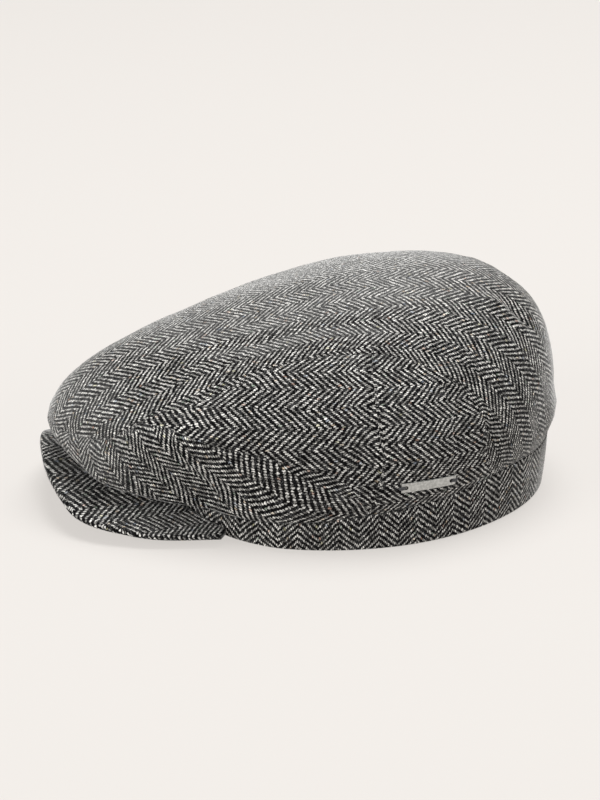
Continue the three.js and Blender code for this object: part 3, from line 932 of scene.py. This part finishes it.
THREAD_RADIUS = 0.3


def plate_stitch(name, end):
    """Three turns of thread, up through a hole and over the plate's end into the cloth."""
    hole = PLATE_LENGTH / 2 - PLATE_HOLE_INSET
    lines = []
    for across in (-0.5, 0.0, 0.5):
        share = np.linspace(0, 1, 21)
        along = end * lerp(hole + 0.1 * across, PLATE_LENGTH / 2 + 1.3, share)
        over = SEAM_GAP + PLATE_THICKNESS + THREAD_RADIUS + 0.05
        lift = over - (over + 0.5) * np.abs(2 * share - 1) ** 4
        lines.append(over_plate(along, across * 0.9, lift))
    return tube(name, lines, THREAD_RADIUS)


class Nodes:
    """A material's node tree, built by calls that read as sums."""

    def __init__(self, name):
        self.material = bpy.data.materials.new(name)
        self.material.use_nodes = True
        self.tree = self.material.node_tree
        self.tree.nodes.clear()
        self.output = self.tree.nodes.new("ShaderNodeOutputMaterial")
        self.place = self.node("ShaderNodeTexCoord").outputs["Object"]

    def node(self, kind, inputs=None, **settings):
        made = self.tree.nodes.new(kind)
        for key, value in settings.items():
            setattr(made, key, value)
        for key, value in (inputs or {}).items():
            self.put(made.inputs[key], value)
        return made

    def put(self, socket, value):
        if isinstance(value, bpy.types.NodeSocket):
            self.tree.links.new(value, socket)
        else:
            socket.default_value = value

    def math(self, operation, a, b=0.0, c=0.0):
        return self.node("ShaderNodeMath", {0: a, 1: b, 2: c}, operation=operation).outputs[0]

    def times(self, a, b):
        return self.math("MULTIPLY", a, b)

    def mix(self, share, a, b, blend="MIX"):
        made = self.node("ShaderNodeMix", data_type="RGBA", blend_type=blend)
        self.put(made.inputs["Factor"], share)
        self.put(made.inputs["A"], a)
        self.put(made.inputs["B"], b)
        return made.outputs["Result"]

    def between(self, value, low, high, to_low=0.0, to_high=1.0):
        made = self.node("ShaderNodeMapRange", {
            "Value": value, "From Min": low, "From Max": high, "To Min": to_low, "To Max": to_high})
        made.interpolation_type = "SMOOTHSTEP"
        return made.outputs["Result"]

    def noise(self, scale, detail=2.0, roughness=0.5, vector=None, output="Fac"):
        made = self.node("ShaderNodeTexNoise", {
            "Vector": self.place if vector is None else vector, "Scale": scale, "Detail": detail,
            "Roughness": roughness})
        return made.outputs[output]

    def white(self, x, y, z):
        joined = self.node("ShaderNodeCombineXYZ", {"X": x, "Y": y, "Z": z})
        return self.node("ShaderNodeTexWhiteNoise", {"Vector": joined.outputs[0]}).outputs["Value"]

    def parts(self, vector):
        return self.node("ShaderNodeSeparateXYZ", {0: vector}).outputs

    def bump(self, height, strength, distance):
        inputs = {"Height": height, "Strength": strength, "Distance": distance * MM}
        return self.node("ShaderNodeBump", inputs).outputs[0]

    def surface(self, inputs):
        """Ends the tree in a surface, and gives the material."""
        shader = self.node("ShaderNodeBsdfPrincipled", inputs)
        self.tree.links.new(shader.outputs[0], self.output.inputs["Surface"])
        return self.material


# The weave: yarns in a column, their widths, and how far they wander from their lines
WARPS = 12
WARP = COLUMN / WARPS
WEFT = 0.86
WANDER = 1.3
PALE_YARN = (0.52, 0.510, 0.486, 1)
GREY_YARN = (0.150, 0.146, 0.138, 1)
DARK_YARN = (0.004, 0.004, 0.005, 1)
SOFT_DARK_YARN = (0.062, 0.062, 0.064, 1)
# Pale fuzz grey, mixed into the cloth as a painted sheen where it faces up and over the front
NAP_AND_SHEEN_GREY = (0.36, 0.36, 0.355, 1)
FLECKS = (
    (0.00, (0.50, 0.38, 0.25, 1)), (0.28, (0.36, 0.17, 0.10, 1)), (0.42, (0.14, 0.22, 0.15, 1)),
    (0.56, (0.14, 0.20, 0.29, 1)), (0.72, (0.85, 0.83, 0.77, 1)), (0.90, (0.42, 0.40, 0.20, 1)),
)
FLECK_FROM = 0.95
FLECK_STRENGTH = 0.42
# Light and shade in the yarns: each noise's scale and detail, the part of it that counts, and its tones
SHADES = (
    (1300.0, 2.0, 0.3, 0.7, 0.5, 1.35),
    (330.0, 2.0, 0.3, 0.7, 0.74, 1.23),
    (60.0, 3.0, 0.25, 0.75, 0.86, 1.12),
)
# Where the painted sheen and fuzz over the front begin and where they are full, in metres
FRONT_SHEEN_SPAN = (-0.074, -0.118)


def tweed(name, seed, nap_and_sheen, front_nap_and_sheen=0.0):
    """Two-and-two twill in broken herringbone columns, pale over charcoal yarn, with coloured flecks,
    painted shade at the yarns' edges, and a painted sheen of pale fuzz where the cloth faces up and over the
    front.
    """
    n = Nodes(name)
    flat = n.parts(n.node("ShaderNodeUVMap", uv_map="cloth").outputs["UV"])
    slow = n.parts(n.noise(110.0, 2.0, output="Color"))
    quick = n.parts(n.noise(700.0, 1.0, output="Color"))

    def wandering(k):
        drift = n.math("MULTIPLY_ADD", slow[k], WANDER, -WANDER / 2)
        shake = n.math("MULTIPLY_ADD", quick[k], WANDER, -WANDER / 2)
        return n.math("ADD", n.math("ADD", flat[k], drift), shake)

    across = n.math("DIVIDE", wandering(0), WARP)
    along = n.math("DIVIDE", wandering(1), WEFT)
    warp = n.math("FLOOR", across)
    weft = n.math("FLOOR", along)
    in_warp = n.math("SUBTRACT", across, warp)
    in_weft = n.math("SUBTRACT", along, weft)
    column = n.math("FLOOR", n.math("DIVIDE", warp, WARPS))
    odd = n.math("FLOORED_MODULO", column, 2.0)
    side = n.math("MULTIPLY_ADD", odd, -2.0, 1.0)
    step = n.math("MULTIPLY_ADD", odd, 2.0, n.math("MULTIPLY_ADD", warp, side, weft))
    phase = n.math("FLOORED_MODULO", step, 4.0)
    warp_up = n.math("LESS_THAN", phase, 1.5)
    warp_run = n.times(n.math("ADD", phase, in_weft), 0.5)
    turned_warp = n.math("ABSOLUTE", n.math("SUBTRACT", in_warp, odd))
    weft_run = n.times(n.math("ADD", n.math("SUBTRACT", phase, 2.0), turned_warp), 0.5)

    def arch(share, power):
        wave = n.math("SINE", n.times(share, math.pi))
        return n.math("POWER", n.math("MAXIMUM", wave, 0.0), power)

    warp_height = n.times(arch(in_warp, 0.62), arch(warp_run, 0.5))
    weft_height = n.times(arch(in_weft, 0.8), n.times(arch(weft_run, 0.55), 0.75))
    heights = {0: warp_up, 2: weft_height, 3: warp_height}
    height = n.node("ShaderNodeMix", heights, data_type="FLOAT").outputs[0]

    number = n.math("FLOOR", n.math("DIVIDE", step, 4.0))
    by_float = n.white(warp, number, seed)
    by_pick = n.white(weft, n.math("FLOOR", n.math("DIVIDE", warp, 4.0)), seed + 0.7)
    pale = n.mix(n.between(by_float, 0.2, 1.0), PALE_YARN, GREY_YARN)
    dark = n.mix(n.between(by_pick, 0.3, 1.0), DARK_YARN, SOFT_DARK_YARN)
    fleck = n.node("ShaderNodeValToRGB", {0: n.white(number, warp, seed + 1.5)})
    ramp = fleck.color_ramp
    ramp.interpolation = "CONSTANT"
    ramp.elements[0].position, ramp.elements[0].color = FLECKS[0]
    ramp.elements[1].position, ramp.elements[1].color = FLECKS[1]
    for position, colour in FLECKS[2:]:
        ramp.elements.new(position).color = colour
    flecked = n.math("GREATER_THAN", n.white(warp, number, seed + 2.5), FLECK_FROM)
    pale = n.mix(n.times(flecked, FLECK_STRENGTH), pale, fleck.outputs["Color"])
    yarn = n.mix(warp_up, dark, pale)

    # Painted shade and highlight in the weave: each yarn darkens almost to black towards its edges and the
    # gaps between yarns, and lightens on its crest; the SHADES noises then vary it at random
    shade_and_tone = n.between(height, 0.18, 0.92, 0.01, 1.25)
    for scale, detail, low, high, dim, bright in SHADES:
        shade_and_tone = n.times(shade_and_tone, n.between(n.noise(scale, detail, 0.6), low, high, dim, bright))
    grey = n.node("ShaderNodeCombineColor", {0: shade_and_tone, 1: shade_and_tone, 2: shade_and_tone}).outputs[0]
    yarn = n.mix(1.0, yarn, grey, "MULTIPLY")

    # Painted sheen, partly real fuzz: a pale grey is mixed in where the cloth faces up and over the front
    # lip, lightening them as glancing light would, broken up by the hair noise
    hair = n.noise(3000.0, 3.0, 0.75)
    facing = n.parts(n.node("ShaderNodeNewGeometry").outputs["Normal"])["Z"]
    front = n.between(n.parts(n.place)["Y"], *FRONT_SHEEN_SPAN, 0.0, front_nap_and_sheen)
    sheen_and_nap_share = n.math("MAXIMUM", n.between(facing, 0.84, 1.02), front)
    yarn = n.mix(n.times(sheen_and_nap_share, n.between(hair, 0.38, 0.72, 0.0, nap_and_sheen)), yarn, NAP_AND_SHEEN_GREY)
    return n.surface({
        "Base Color": yarn, "Roughness": 0.95, "Specular IOR Level": 0.08, "Sheen Weight": 0.85,
        "Sheen Roughness": 0.24, "Sheen Tint": (0.95, 0.95, 0.94, 1),
        "Normal": n.bump(n.math("MULTIPLY_ADD", hair, 0.4, height), 0.8, 0.13)})


def plate_metal():
    """Satin metal: brushed along the plate, with small marks and a darker patina in places."""
    n = Nodes("plate_steel")
    stretched = n.node("ShaderNodeMapping", {0: n.place, 3: (3000, 160, 9000)}).outputs[0]
    brushed = n.noise(1.0, 3.0, vector=stretched)
    patches = n.noise(900.0, 3.0)
    colour = n.mix(n.between(patches, 0.35, 0.7), (0.40, 0.40, 0.385, 1), (0.62, 0.62, 0.60, 1))
    colour = n.mix(n.between(brushed, 0.3, 0.7, 0.0, 0.35), colour, (0.33, 0.33, 0.32, 1))
    return n.surface({
        "Base Color": colour, "Roughness": n.between(patches, 0.3, 0.7, 0.34, 0.5), "Metallic": 0.85,
        "Normal": n.bump(brushed, 0.25, 0.03)})


def thread_material():
    n = Nodes("dark_thread")
    strands = n.noise(4200.0, 2.0)
    colour = n.mix(n.between(strands, 0.3, 0.7), (0.008, 0.008, 0.010, 1), (0.05, 0.05, 0.055, 1))
    return n.surface({
        "Base Color": colour, "Roughness": 0.7, "Sheen Weight": 0.2, "Normal": n.bump(strands, 0.5, 0.1)})


def floor_material():
    """A pale sheet lit softly from below as well, so that shadows on it stay light."""
    n = Nodes("pale_floor")
    colour = n.mix(n.noise(0.8, 2.0), (0.170, 0.165, 0.158, 1), (0.174, 0.169, 0.162, 1))
    return n.surface({
        "Base Color": colour, "Roughness": 0.9, "Specular IOR Level": 0.1,
        "Emission Color": (0.935, 0.890, 0.848, 1), "Emission Strength": 0.63})


# The photograph's view: its turn and height in degrees, distance and scale at the middle of the head
VIEW_TURN = 80.0
VIEW_HEIGHT = 23.0
VIEW_DISTANCE = 1.5
PIXELS_PER_METRE = 2050.0
FRAME_SIZE = (600, 800)
HEAD_MIDDLE_PIXEL = (337.0, 478.0)
SENSOR = 36.0


def camera():
    turn = math.radians(VIEW_TURN)
    high = math.radians(VIEW_HEIGHT)
    back = Vector((math.sin(turn) * math.cos(high), -math.cos(turn) * math.cos(high), math.sin(high)))
    right = Vector((math.cos(turn), math.sin(turn), 0))
    up = back.cross(right)
    head_middle = Vector((0, OUTLINE_SHIFT * MM, 0))
    aside, below = (
        (pixel - size / 2) / PIXELS_PER_METRE for pixel, size in zip(HEAD_MIDDLE_PIXEL, FRAME_SIZE))
    eye = head_middle + back * VIEW_DISTANCE
    back = (eye - (head_middle - right * aside + up * below)).normalized()
    right = up.cross(back).normalized()
    up = back.cross(right)
    data = bpy.data.cameras.new("photo_view")
    data.sensor_width = SENSOR
    data.lens = PIXELS_PER_METRE * VIEW_DISTANCE / FRAME_SIZE[1] * SENSOR
    data.clip_end = 50
    made = placed("photo_view", data)
    made.location = eye
    made.rotation_euler = Matrix((right, up, back)).transposed().to_euler()
    bpy.context.scene.camera = made


LIT_MIDDLE = (0, 0, 0.05)


def area_light(name, place, size, watts):
    """A round lamp turned to the cap."""
    data = bpy.data.lights.new(name, "AREA")
    data.shape = "DISK"
    data.size = size
    data.energy = watts
    made = placed(name, data)
    made.location = place
    made.rotation_euler = (Vector(place) - Vector(LIT_MIDDLE)).to_track_quat("Z", "Y").to_euler()


LIGHTS = (
    ("overhead", (-0.3, 0.35, 2.2), 1.6, 65),
    ("front_fill", (0.9, -2.1, 0.6), 1.6, 44),
    ("rear_fill", (1.1, 2.1, 0.9), 1.4, 20),
)
ROOM_COLOUR = (1.0, 0.985, 0.965, 1)
ROOM_STRENGTH = 0.40
FLOOR_HALF = 8.0
FLOOR_DROP = 0.0002


def studio():
    scene = bpy.context.scene
    scene.view_settings.view_transform = "Standard"
    world = bpy.data.worlds.new("soft_room")
    world.use_nodes = True
    room = world.node_tree.nodes["Background"].inputs
    room["Color"].default_value = ROOM_COLOUR
    room["Strength"].default_value = ROOM_STRENGTH
    scene.world = world
    for light in LIGHTS:
        area_light(*light)
    mesh = bpy.data.meshes.new("floor")
    corners = [(x * FLOOR_HALF, y * FLOOR_HALF, 0) for x, y in ((-1, -1), (1, -1), (1, 1), (-1, 1))]
    mesh.from_pydata(corners, [], [(0, 1, 2, 3)])
    mesh.materials.append(floor_material())
    floor = placed("floor", mesh)
    floor.location.z = -FLOOR_DROP


def dressed(piece, material, nodes=()):
    """Gives a piece its material and its slot, and the solid that it stands for."""
    piece.data.materials.clear()
    piece.data.materials.append(material)
    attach(piece, "root")
    if nodes:
        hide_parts(*nodes)


def build():
    # The third number is how much pale fuzz is painted on as sheen where the cloth faces up, the fourth how
    # much over the front lip
    crown_tweed = tweed("crown_tweed", 1.0, 0.52, 0.6)
    band_tweed = tweed("band_tweed", 2.0, 0.3)
    peak_tweed = tweed("peak_tweed", 3.0, 0.08)
    top_shares = edge_shares(44, 0.0068, first=False)
    top, top_cut = panel("top_cloth", "top", top_shares, polar_start, lay_top)
    left, side_cut = panel("side_cloth_left", "side", edge_shares(22, 0.016), side_start, lay_side)
    right = mirror_piece(left, "side_cloth_right")
    front, front_cut = panel("front_cloth", "front", edge_shares(22, 0.018), front_start, lay_front)
    band, band_cut = band_strip()
    sides = ["side_cloth_left", "side_cloth_right"]
    for piece, cut, solid, rests_on in (
            (top, top_cut, "top_panel", sides + ["front_cloth", "band_cloth"]),
            (left, side_cut, "side_panel_left", ["band_cloth", "front_cloth"]),
            (right, side_cut, "side_panel_right", ["band_cloth", "front_cloth"]),
            (front, front_cut, "front_panel", ["band_cloth"])):
        dressed(piece, crown_tweed, [solid])
    dressed(band, band_tweed, ["band"])
    dressed(peak(), peak_tweed, ["peak"])
    dressed(name_plate(), plate_metal(), ["name_plate"])
    thread = thread_material()
    for name, end in (("plate_stitch_front", -1), ("plate_stitch_back", 1)):
        dressed(plate_stitch(name, end), thread)


camera()
studio()
build()
